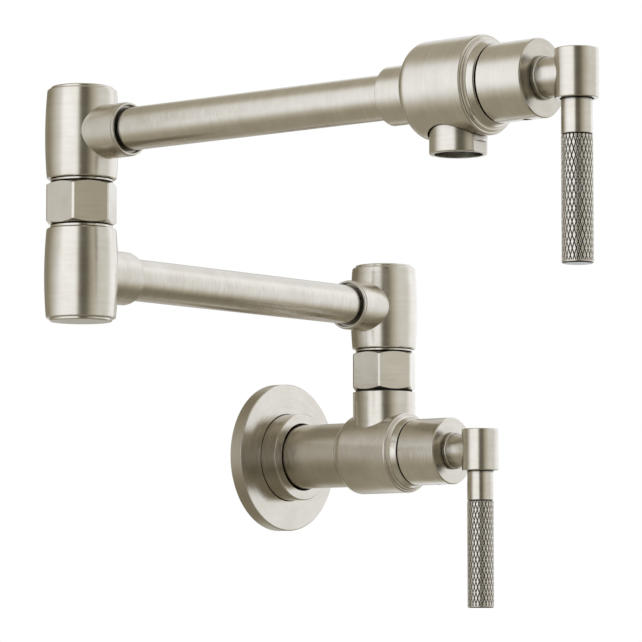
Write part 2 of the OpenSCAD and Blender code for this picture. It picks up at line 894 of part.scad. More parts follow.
// The lower barrel of the elbow carries the elbow's spindle and is open below
module fixed_barrel() {
  room_h = barrel_h - thread_l - gap - seat_wall;
  color(nickel)
    difference() {
      union() {
        barrel_shell();
        socket();
        translate([0, 0, barrel_h - overrun])
          cylinder(r = rim_r, h = overrun + rim_h);
      }
      translate([0, 0, -overrun])
        cylinder(r = swivel_bore_r, h = room_h + overrun);
      translate([0, 0, -overrun])
        cylinder(r = swivel_bore_r + clip_room, h = clip_back + overrun);
      cylinder(r = spindle_bore_r, h = barrel_h);
      translate([0, 0, barrel_h - thread_l - gap])
        cylinder(r = spindle_r + fit, h = thread_l + gap + rim_h + overrun);
      socket_bores();
    }
}

// Drawn with its outer face up, to sit on a barrel's end at z = 0
module barrel_cap() {
  color(nickel) {
    turned([
      [0, 0], [cap_r, 0], [cap_r, cap_h - edge], [cap_r - edge, cap_h], [0, cap_h]
    ]);
    translate([0, 0, -cap_plug_l])
      cylinder(r = swivel_bore_r + clip_room - fit, h = cap_plug_l + edge);
  }
}

// Nodes: wall side and base valve

module base_bezel() { at_base_valve() bezel(base_body_r); }
module base_bonnet_nut() { at_base_valve() bonnet_nut(); }
module base_cartridge_housing() { at_base_valve() cartridge_housing(); }
module base_seat_seal() { at_base_valve() seat_seal(); }
module base_fixed_disc() { at_base_valve() fixed_disc(); }
module base_moving_disc() { at_base_valve() moving_disc(); }
module base_stem() { at_base_valve() stem(); }
module base_stem_seals() { at_base_valve() stem_seals(); }
module base_stem_clip() { at_base_valve() stem_clip(); }
module base_handle_skirt() { at_base_valve() handle_skirt(); }
module base_set_screw() { at_base_valve() set_screw(); }
module base_handle_hub() { at_base_valve() handle_hub(); }
module base_lever_rod() { at_base_valve() lever_rod(); }
module base_lever_grip() { at_base_valve() lever_grip(); }

// Nodes: base swivel

module post_gasket() { color(rubber) at_base_swivel() flat_ring(gasket_r, gasket_h); }
module base_hex_nut() { at_base_swivel(gasket_h) hex_nut(); }
module base_spindle() { at_base_swivel() spindle(base_stack_h); }
module base_swivel_seals() { at_base_swivel() swivel_seals(base_stack_h); }
module base_glide_washer() {
  color(nickel)
    at_base_swivel(gasket_h + hex_h + rim_h)
      flat_ring(washer_r, washer_t);
}
module base_swivel_clip() { at_base_swivel() swivel_clip(base_stack_h); }

// Nodes: lower arm

module base_barrel() { at_base_swivel(base_stack_h) rotate([0, 0, 180]) turning_barrel(); }
module base_barrel_cap() { at_base_swivel(base_stack_h + barrel_h) barrel_cap(); }
module lower_arm_tube() {
  color(nickel)
    translate([-tube_start, -base_out, lower_arm_z])
      rotate([0, -90, 0])
        pipe(tube_r, tube_bore_r, lower_arm_l - 2 * tube_start);
}
module elbow_lower_barrel() { at_elbow(-barrel_h) fixed_barrel(); }
module elbow_lower_cap() { at_elbow(-barrel_h) rotate([180, 0, 0]) barrel_cap(); }

// Nodes: elbow swivel

module elbow_spacer_ring() {
  color(nickel)
    at_elbow(rim_h)
      flat_ring(washer_r, spacer_t);
}
module elbow_hex_nut() {
  at_elbow(spacer_room) {
    hex_nut();
    color(nickel)
      translate([0, 0, -rim_h])
        flat_ring(rim_r, rim_h + edge);
  }
}
module elbow_spindle() { at_elbow() spindle(elbow_stack_h); }
module elbow_swivel_seals() { at_elbow() swivel_seals(elbow_stack_h); }
module elbow_glide_washer() {
  color(nickel)
    at_elbow(spacer_room + hex_h + rim_h)
      flat_ring(washer_r, washer_t);
}
module elbow_swivel_clip() { at_elbow() swivel_clip(elbow_stack_h); }

// Nodes: upper arm and outlet valve

module elbow_upper_barrel() { at_elbow(elbow_stack_h) rotate([0, 0, -90]) turning_barrel(); }
module elbow_upper_cap() { at_elbow(elbow_stack_h + barrel_h) barrel_cap(); }

module upper_arm_tube() {
  color(nickel)
    translate([-lower_arm_l, -base_out - tube_start, upper_arm_z])
      out_of_wall()
        pipe(tube_r, tube_bore_r, outlet_rear + tube_in_body - tube_start - gap);
}

module outlet_ferrule() {
  color(nickel)
    translate([-lower_arm_l, -base_out - ferrule_start, upper_arm_z])
      out_of_wall()
        difference() {
          bar(ferrule_r, ferrule_l, fine_edge);
          translate([0, 0, -overrun])
            cylinder(r = tube_r + fit, h = ferrule_l + 2 * overrun);
        }
}

module outlet_bezel() { at_outlet_valve() bezel(outlet_body_r); }
module outlet_bonnet_nut() { at_outlet_valve() bonnet_nut(); }
module outlet_cartridge_housing() { at_outlet_valve() cartridge_housing(); }
module outlet_seat_seal() { at_outlet_valve() seat_seal(); }
module outlet_fixed_disc() { at_outlet_valve() fixed_disc(); }
module outlet_moving_disc() { at_outlet_valve() moving_disc(); }
module outlet_stem() { at_outlet_valve() stem(); }
module outlet_stem_seals() { at_outlet_valve() stem_seals(); }
module outlet_stem_clip() { at_outlet_valve() stem_clip(); }
module outlet_handle_skirt() { at_outlet_valve() handle_skirt(); }
module outlet_set_screw() { at_outlet_valve() set_screw(); }
module outlet_handle_hub() { at_outlet_valve() handle_hub(); }
module outlet_lever_rod() { at_outlet_valve() lever_rod(); }
module outlet_lever_grip() { at_outlet_valve() lever_grip(); }

// The collar and what it holds are drawn upwards from the collar's lower edge
module at_collar(height = 0) {
  translate([-lower_arm_l, -base_out - upper_arm_l, upper_arm_z - collar_drop + height])
    children();
}

module outlet_collar() {
  color(nickel)
    at_collar()
      difference() {
        union() {
          bar(collar_r, collar_l, edge);
          cylinder(r = collar_neck_r, h = collar_l + collar_neck_l);
        }
        translate([0, 0, -overrun])
          cylinder(r = collar_bore_r, h = mouth_l + overrun);
        cylinder(r = room_r, h = collar_room_l);
        cylinder(r = flow_r, h = collar_l + collar_neck_l + overrun);
        for (side = [0, 180])
          rotate([0, 0, side])
            translate([-collar_r, collar_r - flat_depth, -overrun])
              cube([2 * collar_r, collar_r, flats_h + overrun]);
      }
}

module flow_straightener() {
  color(plastic)
    at_collar(straightener_z)
      difference() {
        cylinder(r = room_r - fit, h = straightener_l);
        for (ring = [0 : cell_rings])
          for (i = [0 : max(6 * ring - 1, 0)])
            rotate([0, 0, ring == 0 ? 0 : 60 * i / ring])
              translate([cell_pitch * ring, 0, -overrun])
                cylinder(r = cell_r, h = straightener_l + 2 * overrun);
      }
}

module straightener_gasket() {
  start = straightener_z + straightener_l;
  color(rubber)
    at_collar(start)
      pipe(room_r - fit, room_r - straightener_gasket_w, collar_room_l - start);
}

wall_gasket();
wall_plate();
raised_ring();
ring_seal();
wall_sleeve();
inlet_shank();
base_valve_body();
base_bezel();
base_bonnet_nut();
base_cartridge_housing();
base_seat_seal();
base_fixed_disc();
base_moving_disc();
base_stem();
base_stem_seals();
base_stem_clip();
base_handle_skirt();
base_set_screw();
base_handle_hub();
base_lever_rod();
base_lever_grip();
post_gasket();
base_hex_nut();
base_spindle();
base_swivel_seals();
base_glide_washer();
base_swivel_clip();
base_barrel();
base_barrel_cap();
lower_arm_tube();
elbow_lower_barrel();
elbow_lower_cap();
elbow_spacer_ring();
elbow_hex_nut();
elbow_spindle();
elbow_swivel_seals();
elbow_glide_washer();
elbow_swivel_clip();
elbow_upper_barrel();
elbow_upper_cap();
upper_arm_tube();
outlet_ferrule();
outlet_valve_body();
outlet_bezel();
outlet_bonnet_nut();
outlet_cartridge_housing();
outlet_seat_seal();
outlet_fixed_disc();
outlet_collar();
flow_straightener();
straightener_gasket();
outlet_moving_disc();
outlet_stem();
outlet_stem_seals();
outlet_stem_clip();
outlet_handle_skirt();
outlet_set_screw();
outlet_handle_hub();
outlet_lever_rod();
outlet_lever_grip();
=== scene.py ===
import math

import bmesh
import bpy
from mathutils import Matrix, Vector


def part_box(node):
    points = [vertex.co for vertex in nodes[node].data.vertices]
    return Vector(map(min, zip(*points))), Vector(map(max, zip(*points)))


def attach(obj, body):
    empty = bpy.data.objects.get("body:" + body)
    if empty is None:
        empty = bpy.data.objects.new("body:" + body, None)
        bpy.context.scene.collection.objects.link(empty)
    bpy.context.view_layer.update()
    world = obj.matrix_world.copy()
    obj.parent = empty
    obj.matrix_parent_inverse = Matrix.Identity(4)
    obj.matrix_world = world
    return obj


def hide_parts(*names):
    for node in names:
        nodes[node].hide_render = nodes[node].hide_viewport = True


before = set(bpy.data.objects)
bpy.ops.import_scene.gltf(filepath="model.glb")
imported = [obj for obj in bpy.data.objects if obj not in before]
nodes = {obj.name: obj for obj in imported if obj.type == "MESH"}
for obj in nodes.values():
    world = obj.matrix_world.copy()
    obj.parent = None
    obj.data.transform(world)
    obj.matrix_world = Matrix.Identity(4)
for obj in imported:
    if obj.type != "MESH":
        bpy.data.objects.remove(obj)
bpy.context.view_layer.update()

axisX = (1, 0, 0)
axisY = (0, 1, 0)
axisZ = (0, 0, 1)


def middle(node):
    low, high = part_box(node)
    return (low + high) / 2


def halfWidth(node):
    low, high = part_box(node)
    return (high.x - low.x) / 2


# A shader value that can be used in plain sums
class Signal:
    def __init__(self, finish, socket):
        self.finish = finish
        self.socket = socket

    def math(self, operation, first, second):
        return self.finish.node("Math", {"operation": operation}, {0: first, 1: second})

    def __add__(self, other):
        return self.math("ADD", self, other)

    def __radd__(self, other):
        return self.math("ADD", other, self)

    def __sub__(self, other):
        return self.math("SUBTRACT", self, other)

    def __rsub__(self, other):
        return self.math("SUBTRACT", other, self)

    def __mul__(self, other):
        return self.math("MULTIPLY", self, other)

    def __rmul__(self, other):
        return self.math("MULTIPLY", other, self)

    def __truediv__(self, other):
        return self.math("DIVIDE", self, other)

    def __rtruediv__(self, other):
        return self.math("DIVIDE", other, self)

    def __gt__(self, other):
        return self.math("GREATER_THAN", self, other)

    def __lt__(self, other):
        return self.math("GREATER_THAN", other, self)


# A material or the world, and the nodes in it
class Finish:
    def __init__(self, owner):
        owner.use_nodes = True
        self.owner = owner
        self.tree = owner.node_tree
        self.tree.nodes.clear()

    def node(self, kind, settings=None, feeds=None, output=0):
        made = self.tree.nodes.new("ShaderNode" + kind)
        for name, value in (settings or {}).items():
            setattr(made, name, value)
        for name, value in (feeds or {}).items():
            if isinstance(value, Signal):
                self.tree.links.new(value.socket, made.inputs[name])
            else:
                made.inputs[name].default_value = value
        return Signal(self, made.outputs[output])

    def vectors(self, operation, first, second=(0, 0, 0), output=0):
        return self.node("VectorMath", {"operation": operation}, {0: first, 1: second}, output)

    def scaled(self, vector, share):
        return self.node("VectorMath", {"operation": "SCALE"}, {0: vector, "Scale": share})

    def along(self, vector, axis):
        return self.vectors("DOT_PRODUCT", vector, axis, 1)

    def lengthOf(self, vector):
        return self.vectors("LENGTH", vector, output=1)

    # A Mix node's sockets go by number, because its colours and vectors share their names
    def mixed(self, share, first, second):
        settings = {"data_type": "RGBA", "clamp_factor": True}
        return self.node("Mix", settings, {0: share, 6: first, 7: second}, 2)

    def mixedVector(self, share, first, second):
        settings = {"data_type": "VECTOR", "clamp_factor": True}
        return self.node("Mix", settings, {0: share, 4: first, 5: second}, 1)

    def ramp(self, value, low, high):
        return self.node("MapRange", {"clamp": True}, {0: value, 1: low, 2: high})

    def noise(self, vector, scale, detail, roughness):
        feeds = {"Vector": vector, "Scale": scale, "Detail": detail, "Roughness": roughness}
        return self.node("TexNoise", {"noise_dimensions": "3D"}, feeds)

    def place(self):
        return self.node("TexCoord", output="Object")

    def surface(self, shader, target="OutputMaterial"):
        end = self.tree.nodes.new("ShaderNode" + target)
        self.tree.links.new(shader.socket, end.inputs["Surface"])
        return self.owner


def newFinish(name):
    return Finish(bpy.data.materials.new(name))


# Camera, placed where the photograph was taken from

photoCamera = {
    "place": (-1.62368, -1.36212, -0.10552),
    "turn": -50.721,  # degrees from looking along +Y
    "tilt": 5.134,  # degrees up from the level
    "lens": 192.70,  # millimetres on the sensor below
    "sensor": 36,
    "clip": (0.05, 50),
}


def makeCamera():
    data = bpy.data.cameras.new("photoCamera")
    data.lens = photoCamera["lens"]
    data.sensor_width = photoCamera["sensor"]
    data.clip_start, data.clip_end = photoCamera["clip"]
    camera = bpy.data.objects.new("photoCamera", data)
    camera.location = photoCamera["place"]
    tilt = math.radians(90 + photoCamera["tilt"])
    camera.rotation_euler = (tilt, 0, math.radians(photoCamera["turn"]))
    bpy.context.scene.collection.objects.link(camera)
    bpy.context.scene.camera = camera


makeCamera()
print("camera made")


# Brushed nickel: fine lines run round the axis that a piece was turned on

nickel = {
    "dark": (0.62, 0.575, 0.5, 1),
    "light": (0.75, 0.715, 0.655, 1),
    # edge: painted highlight colour on the rounded edges
    "edge": (0.84, 0.815, 0.77, 1),
    "fineShare": 0.25,  # shares of the lines, bands and clouds in the mix of dark and light
    "bandShare": 0.3,
    "cloudShare": 0.45,
    "darkBelow": 0.3,
    "lightAbove": 0.7,
    "roughness": 0.21,
    "cloudRoughness": 0.08,
    "bandRoughness": 0.06,
    "lineWidth": 0.00009,
    "bandWidth": 0.0016,
    "lineTurns": 2.2,
    "bandTurns": 0.8,
    "flatTurns": 60,  # per metre along a flat
    "lineTilt": 0.42,  # how far the fine lines lean the surface along the axis
    "bandTilt": 0.05,
    "cloudSize": 0.012,
    "edgeRound": 0.0004,
    "edgeStart": 0.01,  # turn of the rounded edge from which the painted highlight starts, and where it is full
    "edgeFull": 0.16,
    "edgeHighlightShare": 0.6,
    "edgePolish": 0.05,
}

# Painted shade darkens the colour where the metal is closed in. Each kind has how far it looks for other
# metal, and the openness at which the painted shade is full, and gone.
paintedShadeColour = (0.035, 0.031, 0.025, 1)
paintedShades = {
    "joint": {"reach": 0.0014, "full": 0.28, "gone": 0.58},
    "seam": {"reach": 0.002, "full": 0.62, "gone": 0.86},
    "crevice": {"reach": 0.004, "full": 0.08, "gone": 0.5},
    "handle": {"reach": 0.011, "full": 0.26, "gone": 0.8},
    "mouth": {"reach": 0.014, "full": 0.3, "gone": 0.9},
}


def ringPlace(finish, axis, centre):
    # A place that changes slowly round the axis, and fast along it and out from it
    spot = finish.vectors("SUBTRACT", finish.place(), centre)
    height = finish.along(spot, axis)
    flat = finish.vectors("SUBTRACT", spot, finish.scaled(axis, height))
    away = finish.lengthOf(flat)
    around = finish.vectors("NORMALIZE", flat)
    brushed = finish.vectors("CROSS_PRODUCT", axis, around)
    return around, height + away, away, brushed


def stretched(finish, around, across, axis, turns, width):
    slow = finish.scaled(around, turns)
    fast = finish.scaled(axis, across / width)
    return finish.vectors("ADD", slow, fast)


def linesAndBands(finish, around, across, axis):
    lines = stretched(finish, around, across, axis, nickel["lineTurns"], nickel["lineWidth"])
    bands = stretched(finish, around, across, axis, nickel["bandTurns"], nickel["bandWidth"])
    return lines, bands


def unshadedShare(finish, paintedShade):
    # None where the painted shade is full, and all of it in the open
    look = paintedShades[paintedShade]
    feeds = {"Distance": look["reach"], "Normal": finish.node("NewGeometry", output="True Normal")}
    openness = finish.node("AmbientOcclusion", {"samples": 8}, feeds, "AO")
    return finish.ramp(openness, look["full"], look["gone"])


def nickelSurface(finish, lines, bands, brushed, paintedShade="crevice", seam="joint", sunk=0):
    fine = finish.noise(lines, 1, detail=2, roughness=0.7)
    wide = finish.noise(bands, 1, detail=3, roughness=0.6)
    cloud = finish.noise(finish.place(), 1 / nickel["cloudSize"], detail=2, roughness=0.5)
    rounded = finish.node("Bevel", {"samples": 4}, {"Radius": nickel["edgeRound"]})
    turnedAway = 1 - finish.along(rounded, finish.node("NewGeometry", output="Normal"))
    joint = unshadedShare(finish, seam)
    # A painted highlight lightens the colour on rounded edges, but not in joints
    edge = finish.ramp(turnedAway, nickel["edgeStart"], nickel["edgeFull"]) * joint
    tone = fine * nickel["fineShare"] + wide * nickel["bandShare"] + cloud * nickel["cloudShare"]
    tone = finish.ramp(tone, nickel["darkBelow"], nickel["lightAbove"])
    colour = finish.mixed(tone, nickel["dark"], nickel["light"])
    colour = finish.mixed(edge * nickel["edgeHighlightShare"], colour, nickel["edge"])
    # Painted shade: the colour turns dark in joints, closed-in places and the knurl's grooves
    unshaded = joint * unshadedShare(finish, paintedShade) * (1 - sunk)
    colour = finish.mixed(unshaded, paintedShadeColour, colour)
    rough = nickel["roughness"] + (cloud - 0.5) * nickel["cloudRoughness"]
    rough = rough + (wide - 0.5) * nickel["bandRoughness"] - edge * nickel["edgePolish"]
    # The lines lean the surface across the brushing, which spreads a highlight along the axis
    across = finish.vectors("NORMALIZE", finish.vectors("CROSS_PRODUCT", rounded, brushed))
    lean = (fine - 0.5) * nickel["lineTilt"] + (wide - 0.5) * nickel["bandTilt"]
    leaned = finish.vectors("NORMALIZE", finish.vectors("ADD", rounded, finish.scaled(across, lean)))
    return finish.node("BsdfPrincipled", None, {
        "Base Color": colour,
        "Metallic": 1,
        "Roughness": rough,
        "Normal": leaned,
    })


def turnedNickel(name, axis, centre, branch=None, **paintedShade):
    # A branch is the distance from the axis where it begins, and the axis and centre it was turned on
    finish = newFinish(name)
    around, across, away, brushed = ringPlace(finish, axis, centre)
    lines, bands = linesAndBands(finish, around, across, axis)
    if branch:
        start, outerAxis, outerCentre = branch
        outside = away > start
        around, across, away, outerBrushed = ringPlace(finish, outerAxis, outerCentre)
        outerLines, outerBands = linesAndBands(finish, around, across, outerAxis)
        lines = finish.mixedVector(outside, lines, outerLines)
        bands = finish.mixedVector(outside, bands, outerBands)
        brushed = finish.mixedVector(outside, brushed, outerBrushed)
    return finish.surface(nickelSurface(finish, lines, bands, brushed, **paintedShade))


def knurledNickel(name, centre, crest):
    # As turned nickel, but with painted shade below the crests
    finish = newFinish(name)
    around, across, away, brushed = ringPlace(finish, axisZ, centre)
    lines, bands = linesAndBands(finish, around, across, axisZ)
    sunk = finish.ramp(crest - away, knurl["bright"], knurl["dark"])
    return finish.surface(nickelSurface(finish, lines, bands, brushed, sunk=sunk))


def flatNickel(name, centre):
    # Level lines on the flats of a hexagon
    finish = newFinish(name)
    spot = finish.vectors("SUBTRACT", finish.place(), centre)
    height = finish.along(spot, axisZ)
    level = finish.vectors("MULTIPLY", spot, (nickel["flatTurns"], nickel["flatTurns"], 0))
    lines = finish.vectors("ADD", level, finish.scaled(axisZ, height / nickel["lineWidth"]))
    bands = finish.vectors("ADD", level, finish.scaled(axisZ, height / nickel["bandWidth"]))
    brushed = finish.vectors("CROSS_PRODUCT", axisZ, finish.node("NewGeometry", output="Normal"))
    return finish.surface(nickelSurface(finish, lines, bands, brushed))


def paint(material, *names):
    for name in names:
        slots = nodes[name].data.materials
        for i in range(len(slots)):
            slots[i] = material


baseAxis = middle("base_handle_skirt")
swivelAxis = middle("base_glide_washer")
elbowAxis = middle("elbow_glide_washer")
outletAxis = middle("outlet_handle_skirt")
collarAxis = middle("outlet_collar")
baseHubAxis = middle("base_lever_grip")
outletHubAxis = middle("outlet_lever_grip")
lowerArmAxis = middle("lower_arm_tube")
upperArmAxis = middle("upper_arm_tube")

# How far outside a turned piece's own radius the brushing changes to that of its branch
branchGaps = {"body": 0.0001, "barrel": 0.003, "hub": 0.0001}
bodyRadius = halfWidth("base_valve_body") + branchGaps["body"]
barrelRadius = halfWidth("elbow_lower_cap") + branchGaps["barrel"]
hubRadius = halfWidth("base_handle_hub") + branchGaps["hub"]
post = (bodyRadius, axisZ, swivelAxis)
lowerSocket = (barrelRadius, axisX, lowerArmAxis)
upperSocket = (barrelRadius, axisY, upperArmAxis)
baseNeck = (hubRadius, axisY, baseAxis)
outletNeck = (hubRadius, axisY, outletAxis)

paint(turnedNickel("nickelBaseValve", axisY, baseAxis),
      "wall_plate", "raised_ring", "wall_sleeve", "base_bezel", "base_handle_skirt")
paint(turnedNickel("nickelBaseBody", axisY, baseAxis, post), "base_valve_body")
paint(turnedNickel("nickelBaseHub", axisZ, baseHubAxis, baseNeck, paintedShade="handle"), "base_handle_hub")
paint(turnedNickel("nickelBaseLever", axisZ, baseHubAxis, paintedShade="handle", seam="seam"),
      "base_lever_rod", "base_lever_grip")
paint(flatNickel("nickelBaseNut", swivelAxis), "base_hex_nut")
paint(turnedNickel("nickelBaseSwivel", axisZ, swivelAxis), "base_glide_washer", "base_barrel_cap")
paint(turnedNickel("nickelBaseBarrel", axisZ, swivelAxis, lowerSocket), "base_barrel")
paint(turnedNickel("nickelLowerArm", axisX, lowerArmAxis), "lower_arm_tube")
paint(turnedNickel("nickelElbowLower", axisZ, elbowAxis, lowerSocket), "elbow_lower_barrel")
paint(turnedNickel("nickelElbow", axisZ, elbowAxis),
      "elbow_lower_cap", "elbow_spacer_ring", "elbow_glide_washer", "elbow_upper_cap")
paint(flatNickel("nickelElbowNut", elbowAxis), "elbow_hex_nut")
paint(turnedNickel("nickelElbowUpper", axisZ, elbowAxis, upperSocket), "elbow_upper_barrel")
paint(turnedNickel("nickelUpperArm", axisY, upperArmAxis),
      "upper_arm_tube", "outlet_ferrule", "outlet_valve_body", "outlet_bezel", "outlet_handle_skirt")
paint(turnedNickel("nickelCollar", axisZ, collarAxis, paintedShade="mouth"), "outlet_collar")
paint(turnedNickel("nickelOutletHub", axisZ, outletHubAxis, outletNeck, paintedShade="handle"),
      "outlet_handle_hub")
paint(turnedNickel("nickelOutletLever", axisZ, outletHubAxis, paintedShade="handle", seam="seam"),
      "outlet_lever_rod", "outlet_lever_grip")
print("nickel painted")


# The other materials, on pieces that show little until the filler is taken apart

innerTone = {
    "grainShare": 0.5,
    "cloudShare": 0.5,
    "darkBelow": 0.35,
    "lightAbove": 0.65,
    "cloudScale": 0.1,  # against the grain's
}
innerFinishes = {
    "raw_brass": {"dark": (0.5, 0.34, 0.13, 1), "light": (0.72, 0.52, 0.25, 1), "metal": 1,
                  "rough": 0.34, "change": 0.16, "grain": 0.0012, "depth": 0.00002},
    "steel": {"dark": (0.42, 0.42, 0.43, 1), "light": (0.6, 0.6, 0.6, 1), "metal": 1,
              "rough": 0.3, "change": 0.14, "grain": 0.0009, "depth": 0.00002},
    "ceramic": {"dark": (0.72, 0.71, 0.67, 1), "light": (0.84, 0.83, 0.8, 1), "metal": 0,
                "rough": 0.22, "change": 0.1, "grain": 0.002, "depth": 0.000004},
    "rubber": {"dark": (0.012, 0.012, 0.012, 1), "light": (0.035, 0.034, 0.033, 1), "metal": 0,
               "rough": 0.68, "change": 0.16, "grain": 0.0007, "depth": 0.00004},
    "plastic": {"dark": (0.5, 0.49, 0.46, 1), "light": (0.64, 0.63, 0.6, 1), "metal": 0,
                "rough": 0.45, "change": 0.12, "grain": 0.0015, "depth": 0.00001},
}


def innerFinish(name, look):
    finish = newFinish(name + "Finish")
    grain = finish.noise(finish.place(), 1 / look["grain"], detail=4, roughness=0.6)
    cloud = finish.noise(finish.place(), innerTone["cloudScale"] / look["grain"], detail=3, roughness=0.5)
    tone = grain * innerTone["grainShare"] + cloud * innerTone["cloudShare"]
    tone = finish.ramp(tone, innerTone["darkBelow"], innerTone["lightAbove"])
    colour = finish.mixed(tone, look["dark"], look["light"])
    bump = finish.node("Bump", None, {"Strength": 1, "Distance": look["depth"], "Height": grain})
    # The colour turns to painted shade in crevices
    return finish.surface(finish.node("BsdfPrincipled", None, {
        "Base Color": finish.mixed(unshadedShare(finish, "crevice"), paintedShadeColour, colour),
        "Metallic": look["metal"],
        "Roughness": look["rough"] + (cloud - 0.5) * look["change"],
        "Normal": bump,
    }))


innerMaterials = {name: innerFinish(name, look) for name, look in innerFinishes.items()}
for node in nodes.values():
    slots = node.data.materials
    for i in range(len(slots)):
        slots[i] = innerMaterials.get(slots[i].name, slots[i])
print("inner pieces painted")


# Knurled grips, in place of the plain ones

knurl = {
    "diamonds": 24,  # round the grip
    "pitch": 0.00646,  # height of one diamond
    "depth": 0.00045,
    "groove": 0.15,  # half the width of a groove, as a share of a diamond
    "bright": 0.00006,  # depth down to which the metal has no painted shade
    "dark": 0.00022,  # depth from which the painted shade is full
    "neck": 0.0004,  # thin groove under the rod
    "neckDepth": 0.0006,
    "ramp": 0.00015,  # slope from the diamonds into the neck and the end
    "endHeight": 0.0014,  # smooth end below the diamonds
    "endRound": 0.001,
    "endSteps": 6,
    "spareRows": 2,  # grown past each end, for the cuts
    "sameHeight": 0.000001,
    "sameCut": 0.0000001,
}


def addMesh(name, shape, place=(0, 0, 0)):
    mesh = bpy.data.meshes.new(name)
    shape.to_mesh(mesh)
    shape.free()
    thing = bpy.data.objects.new(name, mesh)
    thing.location = place
    bpy.context.scene.collection.objects.link(thing)
    return thing


def knurlFaces(shape, centre, radius, low, high):
    # Two sets of grooves wind round the grip, and each vertex lies where two of their lines cross
    lines = [0, knurl["groove"], 1 - knurl["groove"]]
    count = len(lines)
    around = knurl["diamonds"]
    pitch = knurl["pitch"]
    first = math.floor(2 * low / pitch) - knurl["spareRows"]
    last = math.ceil(2 * high / pitch) + around + knurl["spareRows"]
    spots = {}

    def spot(a, b):
        turns = b // (count * around)
        a -= turns * count * around
        b -= turns * count * around
        if (a, b) not in spots:
            u = a // count + lines[a % count]
            v = b // count + lines[b % count]
            turn = math.pi * (u + v) / around
            height = (u - v) * pitch / 2
            sunk = knurl["depth"] if a % count == 0 or b % count == 0 else 0
            reach = radius - sunk
            x = centre.x + reach * math.cos(turn)
            y = centre.y + reach * math.sin(turn)
            spots[a, b] = shape.verts.new((x, y, height))
        return spots[a, b]

    for b in range(count * around):
        for a in range(count * first, count * last):
            height = (a - b) / count * pitch / 2
            if low - pitch < height < high + pitch:
                shape.faces.new((spot(a, b), spot(a + 1, b), spot(a + 1, b + 1), spot(a, b + 1)))


def cutAt(shape, height, side):
    parts = shape.verts[:] + shape.edges[:] + shape.faces[:]
    bmesh.ops.bisect_plane(shape, geom=parts, dist=knurl["sameCut"], plane_co=(0, 0, height),
                           plane_no=(0, 0, side), clear_outer=True)


def openEdges(shape, height):
    found = []
    for edge in shape.edges:
        level = all(abs(corner.co.z - height) < knurl["sameHeight"] for corner in edge.verts)
        if edge.is_boundary and level:
            found.append(edge)
    return found


def stepRing(shape, edges, centre, radius, height):
    # Carries an open end on to a round ring
    grown = bmesh.ops.extrude_edge_only(shape, edges=edges)["geom"]
    corners = [part for part in grown if isinstance(part, bmesh.types.BMVert)]
    for corner in corners:
        turn = math.atan2(corner.co.y - centre.y, corner.co.x - centre.x)
        corner.co.x = centre.x + radius * math.cos(turn)
        corner.co.y = centre.y + radius * math.sin(turn)
        corner.co.z = height
    return [part for part in grown if isinstance(part, bmesh.types.BMEdge) and part.is_boundary]


def closeEnd(shape, start, rings, centre):
    edges = openEdges(shape, start)
    for reach, height in rings:
        edges = stepRing(shape, edges, centre, reach, height)
    bmesh.ops.edgeloop_fill(shape, edges=edges)


def makeGrip(name, node, body):
    low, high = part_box(node)
    centre = middle(node)
    radius = halfWidth(node)
    top = high.z - knurl["neck"] - knurl["ramp"]
    bottom = low.z + knurl["endHeight"] + knurl["ramp"]
    shape = bmesh.new()
    knurlFaces(shape, centre, radius, bottom, top)
    cutAt(shape, top, 1)
    cutAt(shape, bottom, -1)
    inner = radius - knurl["neckDepth"]
    closeEnd(shape, top, [(inner, top + knurl["ramp"]), (inner, high.z)], centre)
    rings = []
    for step in range(knurl["endSteps"] + 1):
        turn = math.radians(90 * step / knurl["endSteps"])
        reach = radius - knurl["endRound"] * (1 - math.cos(turn))
        rings.append((reach, low.z + knurl["endRound"] * (1 - math.sin(turn))))
    closeEnd(shape, bottom, rings, centre)
    bmesh.ops.recalc_face_normals(shape, faces=shape.faces)
    grip = addMesh(name, shape)
    grip.data.materials.append(knurledNickel(name, centre, radius))
    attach(grip, body)
    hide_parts(node)


makeGrip("baseKnurledGrip", "base_lever_grip", "base_handle")
makeGrip("outletKnurledGrip", "outlet_lever_grip", "outlet_handle")
print("grips knurled")


# Studio: a white background, a light tent that only reflections see, three soft lamps and a pale floor

studio = {
    "tentRadius": 1.6,
    "tentCentre": (-0.13, -0.15, 0.05),
    "tentSegments": (180, 90),  # round, and from pole to pole
    "background": (1, 1, 1, 1),
    "fill": 0.75,
    "floorHeight": -0.45,
    "floorRadius": 4,
    "floorSides": 96,
    "floorColour": (0.86, 0.86, 0.85, 1),
    "floorRoughness": 0.9,
    "floorFade": (0.2, 0.9),  # shares of its radius where it starts to turn white, and is white
}

# The tent: plain light from below and above, and between them cards that fade in and out.
# Each card has the four turns (degrees from +X towards +Y) and the four heights (degrees up)
# where it starts, is full, starts to fade and ends.
tent = {
    "level": 0.33,
    "low": 0.27,
    "lowStart": -5,  # degrees up, going down from there
    "lowFade": 30,
    "high": 0.48,
    "highStart": 30,
    "highFade": 25,
    "warm": (1.0, 0.935, 0.72),  # tint of dim light, and of bright light
    "cool": (0.975, 1.0, 1.04),
    "coolStart": 0.3,
    "coolFade": 0.8,
}
cards = [
    {"turns": (20, 60, 150, 200), "heights": (-100, -91, -34, -14), "light": 0.39},
    {"turns": (2, 22, 62, 84), "heights": (-46, -26, -5, 3), "light": 1.05},
    {"turns": (92, 166, 201, 217), "heights": (-44, 2, 36, 60), "light": 1.28},
    {"turns": (230, 284, 320, 345), "heights": (-40, 0, 44, 62), "light": 0.85},
    {"turns": (310, 337, 382, 400), "heights": (-34, 8, 50, 66), "light": 1.27},
    {"turns": (340, 360, 402, 430), "heights": (4, 22, 40, 58), "light": 0.98},
    {"turns": (205, 218, 231, 250), "heights": (-60, -30, 36, 58), "light": 0.14},
]


def soft(value):
    # From 0 to 1 without a corner at either end
    value = max(0, min(1, value))
    return value * value * (3 - 2 * value)


def within(value, limits):
    start, full, fading, end = limits
    return soft((value - start) / (full - start)) * soft((end - value) / (end - fading))


